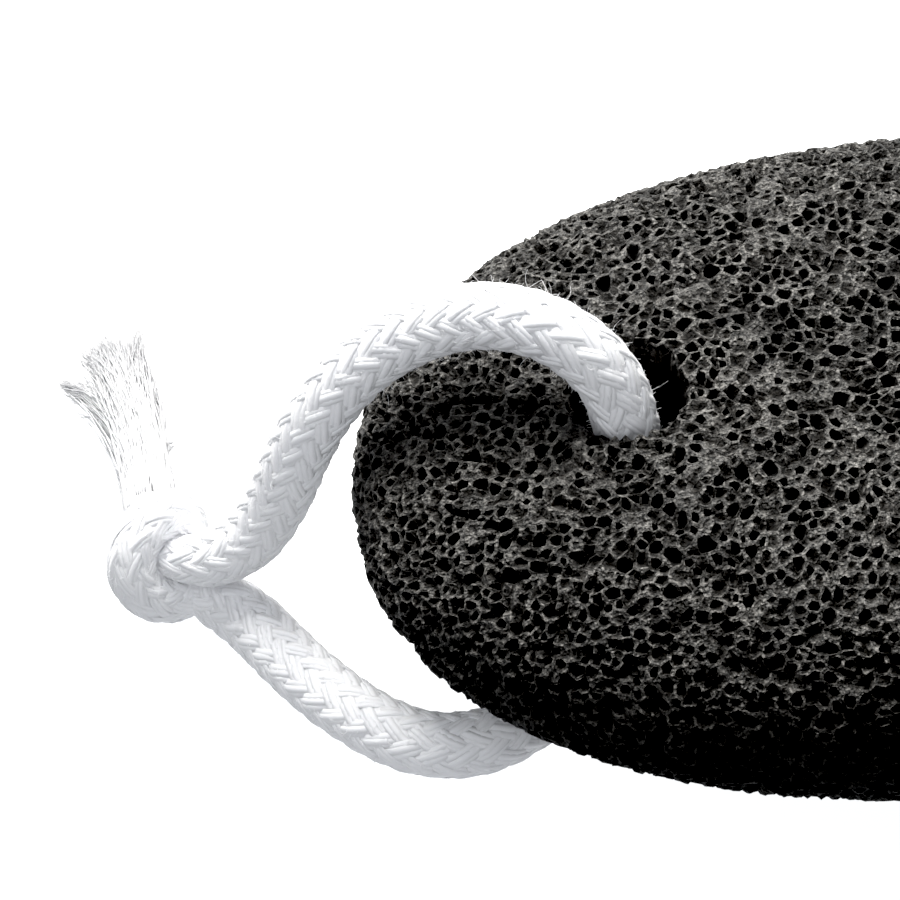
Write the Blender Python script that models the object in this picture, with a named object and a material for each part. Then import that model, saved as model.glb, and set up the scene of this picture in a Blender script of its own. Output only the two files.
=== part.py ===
"""A black pumice foot stone with a loop of white braided cord through its hole.

The stone lies on its broad side. X runs along it, Z points up, and the origin is on the ground
under its middle. Lengths are in metres: MM turns millimetres into them.
"""

import math
import random

import bmesh
import bpy
from mathutils import Vector
from mathutils.bvhtree import BVHTree

MM = 0.001

# The stone: a pebble with a flatter crown, a rounder underside and a worn flat to lie on.
STONE_LENGTH = 100 * MM
STONE_WIDTH = 65 * MM
STONE_THICKNESS = 30 * MM
PLAN_EXPONENT = 2.22
CROWN_EXPONENT = 2.6
BELLY_EXPONENT = 2.0
WORN_DEPTH = 0.5 * MM
# The underside slopes up towards the hole's end, which leaves room for the cord.
BELLY_SLOPE = math.radians(9)
BELLY_SLOPE_START = -5 * MM

# The hole for the cord, drilled straight down near the left end. Its upper mouth is a little
# worn, and its lower one is well rounded, where the cord turns out of it.
HOLE_CENTRE = (-27 * MM, 0.3 * MM)
HOLE_RADIUS = 4.6 * MM
MOUTH_WIDTH = 4.5 * MM
UPPER_MOUTH_ROUNDS = 3
LOWER_MOUTH_ROUNDS = 20

# The open cells of the foam, here at three times their real width.
CELL_COUNT = 1200
PIT_DEPTH = 1.6 * MM
PIT_SCATTER = 0.35
RIDGE_SCATTER = 0.12 * MM
FINE_GRAIN = 0.9 * MM
SEED = 11

# The cord, and the points that its middle follows: from the knot over the stone's end, down
# through the hole, and back along the ground. The last number is how far it is squeezed.
CORD_DIAMETER = 5.6 * MM
CORD_STEP = 2.8 * MM
CORD_ROUTE = (
    (-59.1, 4.3, 9.6, 1.0),
    (-57.6, 4.5, 11.2, 1.0),
    (-55.7, 4.8, 14.7, 1.0),
    (-54.1, 5.1, 19.0, 1.0),
    (-51.7, 5.9, 23.6, 1.0),
    (-47.9, 6.9, 27.8, 1.0),
    (-43.2, 7.1, 30.8, 1.0),
    (-38.6, 6.0, 32.9, 1.0),
    (-34.2, 3.7, 33.7, 1.0),
    (-30.9, 1.7, 32.5, 1.0),
    (-28.7, 0.3, 29.9, 1.0),
    (-27.6, -0.5, 26.2, 1.0),
    (-27.1, -0.6, 21.5, 1.0),
    (-27.0, -0.6, 16.5, 1.0),
    (-27.0, -0.7, 12.2, 0.95),
    (-27.0, -1.0, 8.6, 0.88),
    (-27.6, -2.2, 5.3, 0.83),
    (-29.3, -4.6, 3.2, 0.86),
    (-31.9, -7.7, 2.75, 0.94),
    (-34.8, -10.6, 2.8, 1.0),
    (-37.9, -12.9, 2.8, 1.0),
    (-41.3, -14.3, 2.8, 1.0),
    (-45.0, -14.2, 2.8, 1.0),
    (-48.5, -12.6, 2.8, 1.0),
    (-52.0, -9.4, 2.8, 1.0),
    (-55.1, -5.5, 2.8, 1.0),
    (-57.4, -1.9, 2.8, 1.0),
    (-58.9, 0.5, 2.8, 1.0),
)

# The knot. One strand comes in from above and goes straight through, and the strand that comes
# along the ground is wound once round it. Drawn tight, both are thinner than the free cord.
KNOT_CENTRE = Vector((-65.6, 6.7, 5.7)) * MM
KNOT_AXIS = Vector((-0.44, 0.81, -0.39)).normalized()
WRAP_RADIUS = 3.45 * MM
WRAP_THICKNESS = 4.6 * MM
WRAP_START = math.radians(-42)
WRAP_END = math.radians(-330)
WRAP_STEPS = 14
CORE_ROUTE = (
    (-60.2, 4.2, 8.7, 2.7),
    (-61.5, 4.1, 8.1, 2.7),
    (-63.2, 4.6, 7.4, 2.5),
    (-65.2, 6.3, 6.1, 2.2),
    (-66.3, 8.9, 4.4, 2.2),
    (-66.6, 11.4, 3.2, 2.3),
    (-66.5, 13.0, 2.8, 2.3),
)
WRAP_ENTRY = (
    (-59.8, 1.7, 2.8, 2.6),
    (-60.9, 3.0, 2.7, 2.5),
    (-62.2, 4.3, 2.6, 2.4),
)
KNOT_GRAIN = 0.4 * MM
KNOT_FACES = 1000

# The end behind the knot, lying on the ground, its yarns parted and splayed.
STEM_ROUTE = (
    (-66.6, 13.9, 2.7, 2.3),
    (-66.7, 16.5, 2.7, 2.4),
    (-67.0, 20.0, 2.75, 2.6),
    (-67.6, 24.0, 2.7, 2.5),
)
TUFT_TIPS = (
    (-73.4, 30.2, 1.3),
    (-71.6, 32.4, 1.6),
    (-69.7, 34.2, 2.2),
    (-67.6, 35.0, 1.5),
    (-65.9, 34.6, 1.2),
)
TUFT_ROOT = Vector((-67.4, 22.5, 2.2)) * MM
TUFT_RADIUS = 1.7 * MM
TUFT_TIP_SHARE = 0.35
TUFT_GRAIN = 0.35 * MM
TUFT_FACES = 700


def clear_scene():
    """Takes out whatever the file opened with."""
    for item in list(bpy.data.objects):
        bpy.data.objects.remove(item)


def finish_material(name, colour, roughness):
    """A plain surface of one colour."""
    material = bpy.data.materials.new(name)
    material.use_nodes = True
    shader = material.node_tree.nodes["Principled BSDF"]
    shader.inputs["Base Color"].default_value = (*colour, 1)
    shader.inputs["Roughness"].default_value = roughness
    shader.inputs["Metallic"].default_value = 0
    return material


def link_object(name, data, material=None):
    """Puts a mesh or a curve in the scene under a name, with its material."""
    thing = bpy.data.objects.new(name, data)
    if material:
        data.materials.append(material)
    bpy.context.scene.collection.objects.link(thing)
    return thing


def evaluated_mesh(thing):
    """A new mesh with the object's modifiers or curve settings worked into it."""
    depsgraph = bpy.context.evaluated_depsgraph_get()
    return bpy.data.meshes.new_from_object(thing.evaluated_get(depsgraph))


def hide_guide(thing):
    """Marks an object as one that only helps to shape another."""
    thing.hide_render = True
    thing.display_type = "WIRE"
    return thing


def stone_point(angle, reach, upper):
    """A point of the smooth stone: reach is 0 over its middle and 1 on its widest line."""
    across = abs(math.cos(angle)) ** PLAN_EXPONENT + abs(math.sin(angle)) ** PLAN_EXPONENT
    plan = reach * across ** (-1 / PLAN_EXPONENT)
    x = STONE_LENGTH / 2 * plan * math.cos(angle)
    y = STONE_WIDTH / 2 * plan * math.sin(angle)
    middle = STONE_THICKNESS / 2
    if upper:
        return (x, y, middle + middle * (1 - reach ** CROWN_EXPONENT) ** (1 / CROWN_EXPONENT))
    fullness = (1 - reach ** BELLY_EXPONENT) ** (1 / BELLY_EXPONENT)
    slope_rise = math.tan(BELLY_SLOPE) * max(0, BELLY_SLOPE_START - x)
    z = middle - (middle + WORN_DEPTH - slope_rise) * fullness
    return (x, y, max(0, z))


def smooth_stone(steps=144, rings=24):
    """The closed pebble without its hole, as rings of points from the crown to the underside."""
    reaches = [math.sin(math.pi / 2 * ring / rings) for ring in range(1, rings)]
    rows = [(reach, True) for reach in reaches] + [(1, True)] + [(reach, False) for reach in reversed(reaches)]
    shape = bmesh.new()
    loops = []
    for reach, upper in rows:
        angles = [2 * math.pi * step / steps for step in range(steps)]
        loops.append([shape.verts.new(stone_point(angle, reach, upper)) for angle in angles])
    crown = shape.verts.new(stone_point(0, 0, True))
    belly = shape.verts.new(stone_point(0, 0, False))
    for step in range(steps):
        after = (step + 1) % steps
        shape.faces.new((crown, loops[0][step], loops[0][after]))
        shape.faces.new((belly, loops[-1][after], loops[-1][step]))
        for high, low in zip(loops, loops[1:]):
            shape.faces.new((high[step], low[step], low[after], high[after]))
    mesh = bpy.data.meshes.new("smooth_stone")
    shape.to_mesh(mesh)
    shape.free()
    return hide_guide(link_object("smooth_stone", mesh))


def hole_cutter():
    """The drill for the cord's hole."""
    shape = bmesh.new()
    bmesh.ops.create_cone(shape, cap_ends=True, segments=48, radius1=HOLE_RADIUS, radius2=HOLE_RADIUS,
                          depth=2 * STONE_THICKNESS)
    mesh = bpy.data.meshes.new("hole_cutter")
    shape.to_mesh(mesh)
    shape.free()
    cutter = hide_guide(link_object("hole_cutter", mesh))
    cutter.location = (*HOLE_CENTRE, STONE_THICKNESS / 2)
    bpy.context.view_layer.update()
    return cutter


def soften_mouth(shape, side, rounds):
    """Rounds one mouth of the hole by drawing the points near it towards their neighbours."""
    axis = Vector(HOLE_CENTRE)
    near = []
    for vert in shape.verts:
        from_wall = abs((vert.co.xy - axis).length - HOLE_RADIUS)
        from_middle = side * (vert.co.z - STONE_THICKNESS / 2)
        if from_wall < MOUTH_WIDTH and from_middle > STONE_THICKNESS / 8:
            near.append((vert, 1 - from_wall / MOUTH_WIDTH))
    for _ in range(rounds):
        moved = []
        for vert, weight in near:
            centre = sum((edge.other_vert(vert).co for edge in vert.link_edges), Vector())
            moved.append(vert.co.lerp(centre / len(vert.link_edges), 0.7 * weight))
        for (vert, _), place in zip(near, moved):
            vert.co = place


def drilled_stone():
    """The smooth stone with its hole, as an even mesh of fine squares."""
    body = smooth_stone()
    cut = body.modifiers.new("hole", "BOOLEAN")
    cut.object = hole_cutter()
    cut.operation = "DIFFERENCE"
    cut.solver = "EXACT"
    grain = body.modifiers.new("grain", "REMESH")
    grain.mode = "VOXEL"
    grain.voxel_size = FINE_GRAIN
    shape = bmesh.new()
    shape.from_mesh(evaluated_mesh(body))
    soften_mouth(shape, 1, UPPER_MOUTH_ROUNDS)
    soften_mouth(shape, -1, LOWER_MOUTH_ROUNDS)
    for vert in shape.verts:
        if vert.co.z < 0.3 * MM:
            vert.co.z = 0
    mesh = bpy.data.meshes.new("drilled_stone")
    shape.to_mesh(mesh)
    shape.free()
    return hide_guide(link_object("drilled_stone", mesh))


def uneven_triangles(fine, dice):
    """Triangles of uneven size all over the fine mesh, about as many corners as there are cells."""
    rough = hide_guide(link_object("rough_stone", fine.data.copy()))
    for vert in rough.data.vertices:
        vert.co += Vector([dice.uniform(-1, 1) for _ in range(3)]) * FINE_GRAIN * 0.5
    split = rough.modifiers.new("split", "TRIANGULATE")
    split.quad_method = "BEAUTY"
    thin = rough.modifiers.new("thin", "DECIMATE")
    thin.ratio = CELL_COUNT / len(rough.data.vertices)
    shape = bmesh.new()
    shape.from_mesh(evaluated_mesh(rough))
    return shape


def even_out(shape, surface, rounds=3):
    """Slides the corners apart along the surface, and flips edges that have become long."""
    for _ in range(rounds):
        bmesh.ops.beautify_fill(shape, faces=shape.faces, edges=shape.edges, method="ANGLE")
        moved = []
        for vert in shape.verts:
            centre = sum((edge.other_vert(vert).co for edge in vert.link_edges), Vector())
            moved.append(vert.co.lerp(centre / len(vert.link_edges), 0.5))
        for vert, place in zip(shape.verts, moved):
            vert.co = surface.find_nearest(place)[0]


def faces_around(vert):
    """The faces that meet in a corner, in turning order."""
    first = vert.link_loops[0]
    loop = first
    order = []
    while True:
        order.append(loop.face)
        loop = loop.link_loop_prev.link_loop_radial_next
        if loop == first:
            return order


def pitted_stone(material):
    """The stone itself: each corner of the uneven triangles becomes one open cell."""
    dice = random.Random(SEED)
    fine = drilled_stone()
    surface = BVHTree.FromObject(fine, bpy.context.evaluated_depsgraph_get())
    triangles = uneven_triangles(fine, dice)
    even_out(triangles, surface)
    triangles.normal_update()
    stone = bmesh.new()
    rim = {}
    for face in triangles.faces:
        place, normal, _, _ = surface.find_nearest(face.calc_center_median())
        if place.z > 0:
            place = place + normal * dice.uniform(-1, 1) * RIDGE_SCATTER
        rim[face] = stone.verts.new((place.x, place.y, max(0, place.z)))
    for vert in triangles.verts:
        corners = [rim[face] for face in faces_around(vert)]
        floor = sum((corner.co for corner in corners), Vector()) / len(corners)
        on_the_ground = all(corner.co.z == 0 for corner in corners)
        if not on_the_ground:
            floor -= vert.normal * PIT_DEPTH * dice.uniform(1 - PIT_SCATTER, 1 + PIT_SCATTER)
        centre = stone.verts.new(floor)
        for corner, after in zip(corners, corners[1:] + corners[:1]):
            stone.faces.new((centre, corner, after))
    mesh = bpy.data.meshes.new("stone")
    stone.to_mesh(mesh)
    stone.free()
    triangles.free()
    return link_object("stone", mesh, material)


def curve_through(points, step):
    """Points a step apart on a smooth curve through the given ones, which may have a last number."""
    ends = [[2 * a - b for a, b in zip(points[0], points[1])], [2 * a - b for a, b in zip(points[-1], points[-2])]]
    held = [ends[0], *points, ends[1]]
    fine = []
    for before, start, end, after in zip(held, held[1:], held[2:], held[3:]):
        for share in (part / 20 for part in range(20)):
            fine.append([
                0.5 * (2 * b + (c - a) * share + (2 * a - 5 * b + 4 * c - d) * share ** 2
                       + (3 * b - a - 3 * c + d) * share ** 3)
                for a, b, c, d in zip(before, start, end, after)
            ])
    fine.append(list(points[-1]))
    lengths = [0]
    for one, two in zip(fine, fine[1:]):
        lengths.append(lengths[-1] + math.dist(one[:3], two[:3]))
    count = max(2, round(lengths[-1] / step))
    chosen = []
    place = 0
    for number in range(count + 1):
        wanted = lengths[-1] * number / count
        while place < len(fine) - 2 and lengths[place + 1] < wanted:
            place += 1
        share = (wanted - lengths[place]) / (lengths[place + 1] - lengths[place])
        chosen.append([a + (b - a) * share for a, b in zip(fine[place], fine[place + 1])])
    return chosen


def tube(name, points, radius, material=None):
    """A round tube with closed ends. A point's last number is its share of the radius."""
    data = bpy.data.curves.new(name, "CURVE")
    data.dimensions = "3D"
    data.bevel_depth = radius
    data.bevel_resolution = 2
    data.use_fill_caps = True
    line = data.splines.new("POLY")
    line.points.add(len(points) - 1)
    for place, (x, y, z, share) in zip(line.points, points):
        place.co = (x, y, z, 1)
        place.radius = share
    line.use_smooth = True
    return link_object(name, data, material)


def in_metres(route):
    """A route in millimetres, turned into metres. Its last number stays as it is."""
    return [(x * MM, y * MM, z * MM, share) for x, y, z, share in route]


def melted(name, guides, grain, faces, material):
    """One closed solid that joins the guides where they cross."""
    shape = bmesh.new()
    for guide in guides:
        shape.from_mesh(evaluated_mesh(guide))
        hide_guide(guide)
    mesh = bpy.data.meshes.new(name)
    shape.to_mesh(mesh)
    shape.free()
    solid = link_object(name, mesh, material)
    join = solid.modifiers.new("join", "REMESH")
    join.mode = "VOXEL"
    join.voxel_size = grain
    join.use_smooth_shade = True
    count = len(evaluated_mesh(solid).polygons) * 2
    thin = solid.modifiers.new("thin", "DECIMATE")
    thin.ratio = faces / count
    return solid


def wrap_route():
    """The turn round the strand that goes through, seen from the front: under, left and over."""
    side = (Vector((1, 0, 0)) - KNOT_AXIS * KNOT_AXIS.x).normalized()
    up = side.cross(KNOT_AXIS)
    route = in_metres([(x, y, z, radius / (WRAP_THICKNESS / 2 / MM)) for x, y, z, radius in WRAP_ENTRY])
    for step in range(WRAP_STEPS + 1):
        angle = WRAP_START + (WRAP_END - WRAP_START) * step / WRAP_STEPS
        place = KNOT_CENTRE + (side * math.cos(angle) + up * math.sin(angle)) * WRAP_RADIUS
        route.append((*place, 1))
    return route


def knot(material):
    """The tight knot that closes the loop."""
    core = [(x * MM, y * MM, z * MM, radius) for x, y, z, radius in CORE_ROUTE]
    strands = (
        tube("knot_core", curve_through(core, 0.8 * MM), MM),
        tube("knot_wrap", curve_through(wrap_route(), 0.8 * MM), WRAP_THICKNESS / 2),
    )
    return melted("knot", strands, KNOT_GRAIN, KNOT_FACES, material)


def frayed_end(material):
    """The cord's own end, with its yarns fanned out on the ground."""
    stem = [(x * MM, y * MM, z * MM, radius) for x, y, z, radius in STEM_ROUTE]
    guides = [tube("stem", curve_through(stem, 0.8 * MM), MM)]
    for number, tip in enumerate(TUFT_TIPS):
        end = Vector(tip) * MM
        points = [(*TUFT_ROOT.lerp(end, share), 1 - (1 - TUFT_TIP_SHARE) * share ** 2) for share in (0, 0.4, 0.75, 1)]
        guides.append(tube(f"tuft_{number + 1}", curve_through(points, 0.8 * MM), TUFT_RADIUS))
    return melted("frayed_end", guides, TUFT_GRAIN, TUFT_FACES, material)


def main():
    """Builds the stone and its cord."""
    clear_scene()
    foam = finish_material("black_foam", (0.035, 0.034, 0.033), 0.9)
    cotton = finish_material("white_cotton", (0.86, 0.86, 0.88), 0.85)
    pitted_stone(foam)
    tube("cord", curve_through(in_metres(CORD_ROUTE), CORD_STEP), CORD_DIAMETER / 2, cotton)
    knot(cotton)
    frayed_end(cotton)


main()
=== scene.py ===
# %% [markdown]
# # A black pumice foot stone on its cord
# The real thing is a pebble of black rock foam, drilled near one end, with a loop of white
# braided cotton through the hole. The solids that give its size are already made, so this
# script only dresses them: it builds the foam's open cells, the braid's yarns, the tight knot
# and the frayed end, and lights them the way the picture is lit.

# %% Load the fixed solids
import math
import random

import bmesh
import bpy
import numpy as np
from mathutils import Matrix, Vector
from mathutils.bvhtree import BVHTree


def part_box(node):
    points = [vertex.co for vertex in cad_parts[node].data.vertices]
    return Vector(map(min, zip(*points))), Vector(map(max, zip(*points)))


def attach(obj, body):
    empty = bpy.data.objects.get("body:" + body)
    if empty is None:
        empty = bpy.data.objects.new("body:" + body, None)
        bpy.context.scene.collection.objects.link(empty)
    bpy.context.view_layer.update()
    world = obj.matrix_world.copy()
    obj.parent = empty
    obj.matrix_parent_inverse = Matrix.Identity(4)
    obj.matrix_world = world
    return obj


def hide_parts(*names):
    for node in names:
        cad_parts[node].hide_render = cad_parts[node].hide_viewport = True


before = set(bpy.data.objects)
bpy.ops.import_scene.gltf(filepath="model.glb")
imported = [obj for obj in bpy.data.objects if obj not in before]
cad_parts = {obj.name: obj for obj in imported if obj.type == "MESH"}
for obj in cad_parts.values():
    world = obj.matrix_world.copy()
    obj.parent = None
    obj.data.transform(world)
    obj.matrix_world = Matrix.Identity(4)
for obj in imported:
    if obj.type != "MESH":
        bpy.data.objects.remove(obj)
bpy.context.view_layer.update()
MM = 0.001
print("solids:", sorted(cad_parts))

# %% [markdown]
# ## The camera
# The picture is a close view from high up in front, and its right edge cuts the stone off. A
# long lens keeps the near and far rims almost parallel. The camera comes first, because the
# cord's route has to pass through the places where the picture shows it. The place and the
# three angles could be tried out by eye, but a fit to the pebble's outline gives them at once.

# %% Place the camera
CAMERA_PLACE = Vector((-65.5, -237.1, 307.6)) * MM
LOOKS_DOWN = math.radians(50)
TURNED_RIGHT = math.radians(5.7)
ROLLED = math.radians(2)
LENS_LENGTH = 181.8

camera_data = bpy.data.cameras.new("camera")
camera_data.lens = LENS_LENGTH
camera_data.sensor_width = 36
camera_data.clip_start = 10 * MM
camera = bpy.data.objects.new("camera", camera_data)
camera.matrix_world = (
    Matrix.Translation(CAMERA_PLACE)
    @ Matrix.Rotation(-TURNED_RIGHT, 4, "Z")
    @ Matrix.Rotation(math.pi / 2 - LOOKS_DOWN, 4, "X")
    @ Matrix.Rotation(-ROLLED, 4, "Z")
)
bpy.context.scene.collection.objects.link(camera)
bpy.context.scene.camera = camera
print("camera at", [round(value / MM) for value in CAMERA_PLACE], "mm, lens", LENS_LENGTH)

# %% [markdown]
# ## The cord's line
# One length of cord makes everything here: its end lies frayed behind the knot, it runs through
# the knot, over the stone's end, down the hole, back along the ground, and is wound once round
# itself. So one line is laid through all of that, and the pieces are cut from it later. Each
# point has the cord's radius there, because cotton gives way where it is pressed.

# %% The points of the loop, as the solids have them
CORD_RADIUS = 2.8
LOOP_ROUTE = (
    (-59.1, 4.3, 9.6, 1.0),
    (-57.6, 4.5, 11.2, 1.0),
    (-55.7, 4.8, 14.7, 1.0),
    (-54.1, 5.1, 19.0, 1.0),
    (-51.7, 5.9, 23.6, 1.0),
    (-47.9, 6.9, 27.8, 1.0),
    (-43.2, 7.1, 30.8, 1.0),
    (-38.6, 6.0, 32.9, 1.0),
    (-34.2, 3.7, 33.7, 1.0),
    (-30.9, 1.7, 32.5, 1.0),
    (-28.7, 0.3, 29.9, 1.0),
    (-27.6, -0.5, 26.2, 1.0),
    (-27.1, -0.6, 21.5, 1.0),
    (-27.0, -0.6, 16.5, 1.0),
    (-27.0, -0.7, 12.2, 0.95),
    (-27.0, -1.0, 8.6, 0.88),
    (-27.6, -2.2, 5.3, 0.83),
    (-29.3, -4.6, 3.2, 0.86),
    (-31.9, -7.7, 2.75, 0.94),
    (-34.8, -10.6, 2.8, 1.0),
    (-37.9, -12.9, 2.8, 1.0),
    (-41.3, -14.3, 2.8, 1.0),
    (-45.0, -14.2, 2.8, 1.0),
    (-48.5, -12.6, 2.8, 1.0),
    (-52.0, -9.4, 2.8, 1.0),
    (-55.1, -5.5, 2.8, 1.0),
    (-57.4, -1.9, 2.8, 1.0),
    (-58.9, 0.5, 2.8, 1.0),
)

# %% The points of the end and of the knot
END_ROUTE = (
    (-66.9, 18.6, 2.7, 0.98),
    (-66.7, 16.6, 2.7, 0.93),
    (-66.6, 14.6, 2.65, 0.86),
)
CORE_ROUTE = (
    (-66.6, 12.8, 2.7, 0.8),
    (-66.6, 11.0, 3.3, 0.74),
    (-66.3, 8.9, 4.4, 0.68),
    (-65.4, 6.6, 5.9, 0.68),
    (-63.6, 4.9, 7.2, 0.78),
    (-61.4, 4.2, 8.1, 0.92),
)
KNOT_CENTRE = np.array((-65.6, 6.7, 5.7))
KNOT_AXIS = np.array((-0.44, 0.81, -0.39))
KNOT_AXIS /= np.linalg.norm(KNOT_AXIS)
WRAP_REACH = 3.55
WRAP_SHARE = 0.8
WRAP_START = -52
WRAP_END = -335
WRAP_DRIFT = 1.6
WRAP_POINTS = 13
# The last part of the turn tucks itself in towards the core.
TUCK_FROM = 0.85
TUCK_OVER = 0.15
TUCK_DEPTH = 0.35


def wrap_route():
    """The turn round the core: in from below, round the left side and over the top."""
    side = np.array((1.0, 0, 0)) - KNOT_AXIS * KNOT_AXIS[0]
    side /= np.linalg.norm(side)
    up = np.cross(side, KNOT_AXIS)
    route = [(-60.5, 2.6, 2.75, 0.97), (-61.9, 4.0, 2.65, 0.88)]
    for share in np.linspace(0, 1, WRAP_POINTS):
        angle = math.radians(WRAP_START + (WRAP_END - WRAP_START) * share)
        reach = WRAP_REACH * (1 - TUCK_DEPTH * max(0, share - TUCK_FROM) / TUCK_OVER)
        place = KNOT_CENTRE + (side * math.cos(angle) + up * math.sin(angle)) * reach
        place = place + KNOT_AXIS * WRAP_DRIFT * (share - 0.5)
        route.append((*place, WRAP_SHARE))
    return route


print("route points:", len(LOOP_ROUTE), "in the loop,", len(END_ROUTE) + len(CORE_ROUTE), "before it")

# %% [markdown]
# ## One smooth curve
# A cord never has a corner. A Catmull-Rom curve goes through every point of a route and bends
# evenly between them, and it is short to write. It is sampled finely, then walked in equal
# steps, so the yarns keep the same lay all along.

# %% Walk the line in equal steps
STEP = 0.5
PLACES_PER_SPAN = 24


def smooth_line(route, step):
    """Places and radii, a step apart, on a smooth curve through a route's points."""
    held = np.array([np.subtract(np.multiply(2, route[0]), route[1]), *route,
                     np.subtract(np.multiply(2, route[-1]), route[-2])], float)
    share = np.linspace(0, 1, PLACES_PER_SPAN, endpoint=False)[:, None]
    parts = []
    for before, start, end, after in zip(held, held[1:], held[2:], held[3:]):
        parts.append(0.5 * (2 * start + (end - before) * share
                            + (2 * before - 5 * start + 4 * end - after) * share ** 2
                            + (3 * start - before - 3 * end + after) * share ** 3))
    fine = np.concatenate(parts + [held[-2][None]])
    walked = np.concatenate([[0], np.cumsum(np.linalg.norm(np.diff(fine[:, :3], axis=0), axis=1))])
    places = np.linspace(0, walked[-1], round(walked[-1] / step) + 1)
    return np.stack([np.interp(places, walked, fine[:, column]) for column in range(4)], 1)


def carried_frames(places):
    """A direction along the line and two across it at each place, carried on without twist."""
    along = np.gradient(places, axis=0)
    along /= np.linalg.norm(along, axis=1)[:, None]
    across = np.cross(along[0], (0, 0, 1.0))
    sides = []
    for direction in along:
        across = across - direction * (across @ direction)
        across = across / np.linalg.norm(across)
        sides.append(across)
    sides = np.array(sides)
    return along, sides, np.cross(along, sides)


whole = (*END_ROUTE, *CORE_ROUTE, *LOOP_ROUTE, *wrap_route())
line = smooth_line(whole, STEP)
line_along, line_side, line_up = carried_frames(line[:, :3])


def step_near(point):
    """The number of the step that comes nearest to a point of the route."""
    return int(np.argmin(np.linalg.norm(line[:, :3] - np.array(point[:3]), axis=1)))


core_start = step_near(END_ROUTE[-1])
loop_start = step_near(LOOP_ROUTE[0])
loop_end = step_near(LOOP_ROUTE[-1])

# %% [markdown]
# ## The braid
# The cord is a tube of 24 strands, twelve each way, each passing over two and under two.
# That gives the herringbone of small leaning ovals. A picture of a weave on a plain tube would
# look flat at this distance, so every strand is built from three yarns that really rise and
# dive. The yarns are one formula each: a spiral whose distance from the middle swings in and out.

# %% Yarns that spiral and dive
STRANDS = 12
YARNS = 3
LAY_ANGLE = math.radians(33)
DIVE = 0.1
YARN_RADIUS = 0.34
YARN_FLATNESS = 0.25
YARN_SIDES = 5
YARN_MIDDLE = 2.56
TURN_RATE = math.tan(LAY_ANGLE) / YARN_MIDDLE
HEART_INSET = 0.01
HEART_SIDES = 20
BRAID_SEED = 5
# How sharply a strand changes between over and under: it stays flat where this goes past 1.
WAVE_HEIGHT = 1.35
# The middle yarn of a strand stands out a little more than the two beside it.
CROWN = 0.05
# Small waves that keep the braid uneven: how far each goes and how slowly it turns.
STRAND_WANDER = (0.035, 3.1)
YARN_SLIP = (0.03, 1.3)
YARN_SWELL = (0.025, 0.7)


def over_two_under_two(count):
    """How far out a strand lies after so many crossings, from -1 to 1."""
    wave = np.cos(np.pi / 2 * (count - 0.5))
    return np.clip(wave * WAVE_HEIGHT, -1, 1)


def swing(lengths, size, wave, dice):
    """A small wave along the cord that begins anywhere in its swing."""
    return size * np.sin(lengths / wave + dice.uniform(0, 6.3))


def yarn_lines(first, last, dice):
    """The middle line of every yarn between two steps, and the way that points outwards there."""
    steps = np.arange(first, last + 1)
    lengths = steps * STEP
    shares = line[steps, 3]
    crossings = 2 * STRANDS * TURN_RATE * lengths / (2 * np.pi)
    gap = 2 * np.pi / STRANDS / YARNS
    middles, outwards = [], []
    for way in (1, -1):
        for strand in range(STRANDS):
            rise = way * over_two_under_two(2 * strand + way * crossings)
            wander = swing(lengths, *STRAND_WANDER, dice)
            for yarn in range(YARNS):
                beside = yarn - (YARNS - 1) / 2
                slip = swing(lengths, *YARN_SLIP, dice)
                angle = (2 * np.pi * strand / STRANDS + way * TURN_RATE * lengths
                         + beside * gap + wander + slip)
                crown = CROWN * (1 - abs(beside)) + swing(lengths, *YARN_SWELL, dice)
                reach = (YARN_MIDDLE + DIVE * rise + crown) * shares
                outward = (line_side[steps] * np.cos(angle)[:, None]
                           + line_up[steps] * np.sin(angle)[:, None])
                middles.append(line[steps, :3] + outward * reach[:, None])
                outwards.append(outward)
    return np.array(middles), np.array(outwards), shares


def tubes_from(middles, outwards, radii, sides, flat=1.0):
    """Corners, faces and end caps of tubes along many lines. They are round unless flat is under 1."""
    lines, steps, _ = middles.shape
    along = np.gradient(middles, axis=1)
    along /= np.linalg.norm(along, axis=2)[..., None]
    out = outwards - along * (outwards * along).sum(2)[..., None]
    out /= np.linalg.norm(out, axis=2)[..., None] + 1e-12
    across = np.cross(along, out)
    turns = np.linspace(0, 2 * np.pi, sides, endpoint=False)
    radii = np.broadcast_to(radii, (lines, steps))[..., None, None]
    ring = (out[:, :, None] * np.cos(turns)[None, None, :, None] * flat
            + across[:, :, None] * np.sin(turns)[None, None, :, None]) * radii
    corners = (middles[:, :, None] + ring).reshape(-1, 3)
    number = np.arange(lines * steps * sides).reshape(lines, steps, sides)
    after = np.roll(number, -1, 2)
    faces = np.stack([number[:, :-1], after[:, :-1], after[:, 1:], number[:, 1:]], -1).reshape(-1, 4)
    caps = [list(number[one, 0][::-1]) for one in range(lines)]
    caps += [list(number[one, -1]) for one in range(lines)]
    return corners, faces, caps


def mesh_piece(name, corners, faces, smooth=True):
    """A new object from corners in millimetres."""
    mesh = bpy.data.meshes.new(name)
    mesh.from_pydata((np.asarray(corners) * MM).tolist(), [], [list(map(int, face)) for face in faces])
    mesh.update()
    if smooth:
        mesh.shade_smooth()
    piece = bpy.data.objects.new(name, mesh)
    bpy.context.scene.collection.objects.link(piece)
    print(f"{name}: {sum(len(face.vertices) - 2 for face in mesh.polygons)} triangles")
    return piece


def heart_tube(first, last):
    """The soft middle of the braid, which shows a little between its strands."""
    steps = np.arange(first, last + 1)
    radii = line[steps, 3] * (YARN_MIDDLE - HEART_INSET)
    return tubes_from(line[None, steps, :3], line_side[None, steps], radii, HEART_SIDES)


def joined(parts):
    """Puts several sets of corners and faces together as one."""
    corners, faces, start = [], [], 0
    for some_corners, some_faces, some_caps in parts:
        corners.append(some_corners)
        faces.extend((np.asarray(some_faces) + start).tolist())
        faces.extend([[corner + start for corner in cap] for cap in some_caps])
        start += len(some_corners)
    return np.concatenate(corners), faces


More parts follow.
